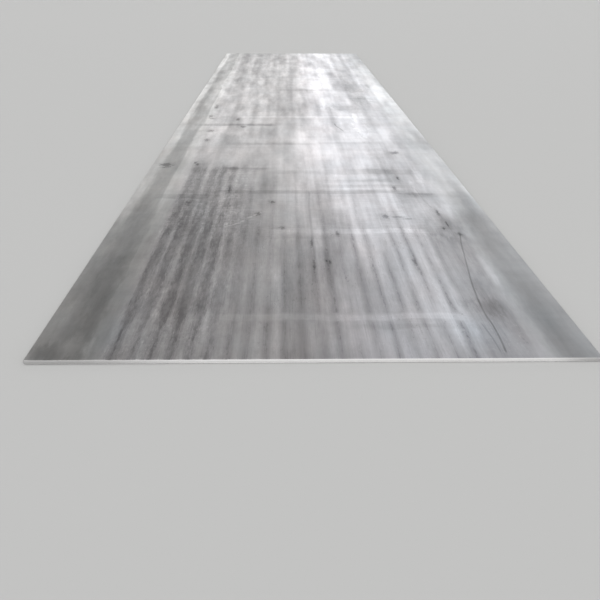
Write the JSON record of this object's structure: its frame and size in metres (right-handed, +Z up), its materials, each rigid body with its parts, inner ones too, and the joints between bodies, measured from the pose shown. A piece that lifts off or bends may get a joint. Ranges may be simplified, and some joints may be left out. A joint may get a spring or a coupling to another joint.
{
  "type": "steel plate",
  "caption": "Long rectangular plate of hot-rolled, descaled steel with blunt rolled long edges and sheared ends, resting flat on its lower face.",
  "frame": {"origin": "middle of the bottom face, on which the plate rests", "axes": "+Y along the rolling direction, which is the plate's length, +X across its width, +Z up out of the top face"},
  "size_m": [1.25, 6, 0.01],
  "materials": {
    "rolled_steel": "hot rolled and descaled: satin grey with soft lengthwise streaks, bright sheared ends"
  },
  "bodies": {
    "root": {"steel_plate": "rolled_steel"}
  },
  "joints": []
}
